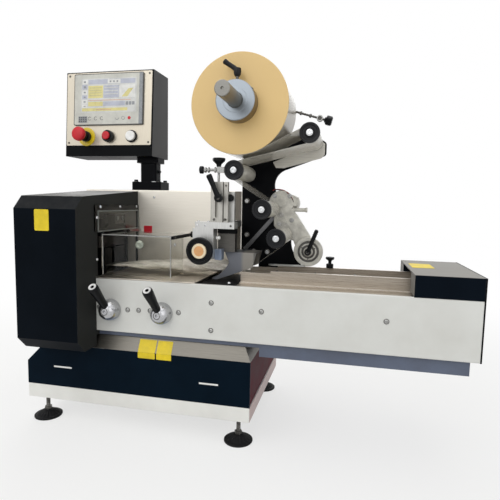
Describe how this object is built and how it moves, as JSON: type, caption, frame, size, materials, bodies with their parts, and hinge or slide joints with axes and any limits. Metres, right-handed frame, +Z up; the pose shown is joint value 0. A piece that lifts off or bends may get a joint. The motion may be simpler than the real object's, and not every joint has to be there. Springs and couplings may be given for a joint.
{
  "type": "horizontal flow wrapper",
  "caption": "Bench-sized horizontal flow wrapper: film reel and idlers on a swan-necked plate, forming box, infeed beam with chain, sealing housing, guard and control panel.",
  "frame": {"origin": "bottom centre of the whole machine, on the floor under the feet", "axes": "+Z up, +X from the sealing housing towards the infeed end, -Y towards the operator"},
  "size_m": [1.256, 0.5507, 1.079],
  "materials": {
    "navy_paint": "satin powder coat",
    "pale_paint": "fine satin paint",
    "rail_paint": "satin paint",
    "plinth_paint": "gloss paint",
    "stainless": "brushed",
    "channel_paint": "satin",
    "black_plate": "satin black",
    "black_plastic": "moulded",
    "aluminium": "turned",
    "grey_cast": "cast",
    "zinc_steel": "plated",
    "chain_steel": "oiled",
    "foot_rubber": "matt",
    "clear_sheet": "clear polycarbonate",
    "film_clear": "clear wrapping film",
    "film_amber": "wound film seen edge on",
    "screen_grey": "touch panel",
    "signal_yellow": "moulded",
    "signal_red": "moulded",
    "signal_white": "moulded"
  },
  "bodies": {
    "machine": {"base_front_cover": "navy_paint", "base_plinth": "plinth_paint", "base_rail": "rail_paint", "base_strip": "stainless", "beam_channel": "channel_paint", "beam_deck": "stainless", "beam_end_plate": "black_plate", "beam_front_panel": "pale_paint", "beam_rear_panel": "pale_paint", "brake_rod": "zinc_steel", "button_collars": "signal_yellow", "chain_sprockets": "chain_steel", "feed_gearbox": "grey_cast", "film_support_plate": "black_plate", "film_web": "film_clear", "former_bracket": "aluminium", "former_knobs": "black_plastic", "former_slide": "aluminium", "forming_box": "stainless", "front_side_guide": "stainless", "guard_bracket": "zinc_steel", "guide_clamp": "zinc_steel", "hmi_box": "black_plate", "hmi_fascia": "stainless", "hmi_pedestal": "black_plate", "hmi_screen": "screen_grey", "housing_window": "clear_sheet", "idler_axles": "zinc_steel", "infeed_chain": "chain_steel", "infeed_end_cover": "navy_paint", "jaw_frame": "black_plate", "levelling_feet": "foot_rubber", "rear_cabinet": "stainless", "rear_side_guide": "stainless", "sealing_deck": "stainless", "sealing_housing": "navy_paint"},
    "film_reel": {"reel_shaft": "zinc_steel", "reel_collars": "aluminium", "reel_clamp_lever": "black_plastic", "film_roll": "film_amber"},
    "idler_1": {"idler_roller_1": "aluminium"},
    "idler_2": {"idler_roller_2": "aluminium"},
    "idler_3": {"idler_roller_3": "aluminium"},
    "idler_4": {"idler_roller_4": "aluminium"},
    "left_lever": {"lever_hub_left": "aluminium", "lever_grip_left": "black_plastic"},
    "right_lever": {"lever_hub_right": "aluminium", "lever_grip_right": "black_plastic"},
    "handwheel": {"former_handwheel": "black_plastic"},
    "guard": {"clear_guard": "clear_sheet", "guard_arms": "black_plate", "guard_knob": "aluminium"},
    "tension_wheel": {"tension_disc": "grey_cast", "tension_lever": "black_plastic"},
    "slide_lever": {"slide_clamp_lever": "black_plastic"},
    "jaw_top": {"upper_jaw": "zinc_steel"},
    "jaw_bottom": {"lower_jaw": "zinc_steel"},
    "emergency_stop": {"e_stop_button": "signal_red"},
    "stop_push": {"stop_button": "signal_red"},
    "start_push": {"start_button": "signal_white"}
  },
  "joints": [
    {"name": "film_reel_spin", "type": "hinge", "parent": "machine", "child": "film_reel", "pos_m": [0.006, -0.17963, 0.924], "axis": [0, 1, 0], "continuous": true},
    {"name": "idler_1_spin", "type": "hinge", "parent": "machine", "child": "idler_1", "pos_m": [0.1985, -0.17963, 0.8435], "axis": [0, 1, 0], "continuous": true},
    {"name": "idler_2_spin", "type": "hinge", "parent": "machine", "child": "idler_2", "pos_m": [-0.003, -0.17963, 0.747], "axis": [0, 1, 0], "continuous": true},
    {"name": "idler_3_spin", "type": "hinge", "parent": "machine", "child": "idler_3", "pos_m": [0.0765, -0.17963, 0.642], "axis": [0, 1, 0], "continuous": true},
    {"name": "idler_4_spin", "type": "hinge", "parent": "machine", "child": "idler_4", "pos_m": [0.1175, -0.17963, 0.565], "axis": [0, 1, 0], "continuous": true},
    {"name": "left_lever_turn", "type": "hinge", "parent": "machine", "child": "left_lever", "pos_m": [-0.333, -0.17963, 0.356], "axis": [0, 1, 0], "range_deg": [0, 90]},
    {"name": "right_lever_turn", "type": "hinge", "parent": "machine", "child": "right_lever", "pos_m": [-0.18, -0.17963, 0.356], "axis": [0, 1, 0], "range_deg": [0, 90]},
    {"name": "handwheel_turn", "type": "hinge", "parent": "machine", "child": "handwheel", "pos_m": [-0.085, -0.17963, 0.527], "axis": [0, 1, 0], "continuous": true},
    {"name": "guard_lift", "type": "hinge", "parent": "machine", "child": "guard", "pos_m": [-0.379, -0.01664, 0.5615], "axis": [-1, 0, 0], "range_deg": [0, 80]},
    {"name": "tension_turn", "type": "hinge", "parent": "machine", "child": "tension_wheel", "pos_m": [0.1905, -0.17963, 0.5165], "axis": [0, 1, 0], "range_deg": [-25, 45]},
    {"name": "slide_lever_turn", "type": "hinge", "parent": "machine", "child": "slide_lever", "pos_m": [-0.037, -0.17963, 0.671], "axis": [0, 1, 0], "range_deg": [-30, 20]},
    {"name": "upper_jaw_spin", "type": "hinge", "parent": "machine", "child": "jaw_top", "pos_m": [-0.441, -0.17963, 0.495], "axis": [0, 1, 0], "continuous": true},
    {"name": "lower_jaw_spin", "type": "hinge", "parent": "machine", "child": "jaw_bottom", "pos_m": [-0.441, -0.17963, 0.426], "axis": [0, 1, 0], "continuous": true},
    {"name": "e_stop_press", "type": "slide", "parent": "machine", "child": "emergency_stop", "axis": [0, 0.9981, -0.0619], "range_m": [0, 0.004], "stiffness_N_per_m": 600},
    {"name": "stop_press", "type": "slide", "parent": "machine", "child": "stop_push", "axis": [0, 0.9981, -0.0619], "range_m": [0, 0.004], "stiffness_N_per_m": 300},
    {"name": "start_press", "type": "slide", "parent": "machine", "child": "start_push", "axis": [0, 0.9981, -0.0619], "range_m": [0, 0.004], "stiffness_N_per_m": 300}
  ],
  "couplings": [
    {"joint": "lower_jaw_spin", "follows": "upper_jaw_spin", "ratio": -1}
  ]
}
